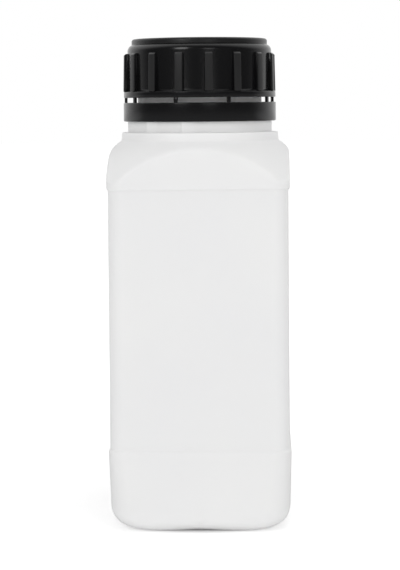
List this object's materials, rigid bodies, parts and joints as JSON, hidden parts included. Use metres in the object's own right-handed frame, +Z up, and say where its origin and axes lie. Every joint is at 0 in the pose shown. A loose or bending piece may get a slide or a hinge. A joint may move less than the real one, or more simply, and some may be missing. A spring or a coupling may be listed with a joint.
{
  "type": "square media bottle",
  "caption": "Square plastic bottle with an arched shoulder, round neck, ribbed tamper-evident screw cap and sealing disc.",
  "frame": {"origin": "centre of the base, on the plane of the standing rim", "axes": "+Z up along the neck's axis; -Y is the front panel; +X to the right seen from the front"},
  "size_m": [0.064, 0.064, 0.1728],
  "materials": {
    "bottle_plastic": "satin natural-white polyethylene, slightly translucent",
    "cap_plastic": "glossy black moulded polypropylene, rib faces a little duller",
    "liner_foam": "matte expanded polyethylene disc"
  },
  "bodies": {
    "bottle": {"bottle": "bottle_plastic", "tamper_ring": "cap_plastic"},
    "liner": {"cap_liner": "liner_foam"},
    "cap": {"screw_cap": "cap_plastic"}
  },
  "joints": [
    {"name": "cap_lift", "type": "slide", "parent": "bottle", "child": "liner", "axis": [0, 0, 1], "range_m": [0, 0.0211]},
    {"name": "cap_turn", "type": "hinge", "parent": "liner", "child": "cap", "pos_m": [0, 0, 0.16], "axis": [0, 0, 1], "range_deg": [0, 1890]}
  ],
  "couplings": [
    {"joint": "cap_lift", "follows": "cap_turn", "m_per_rad": 0.00063662}
  ]
}
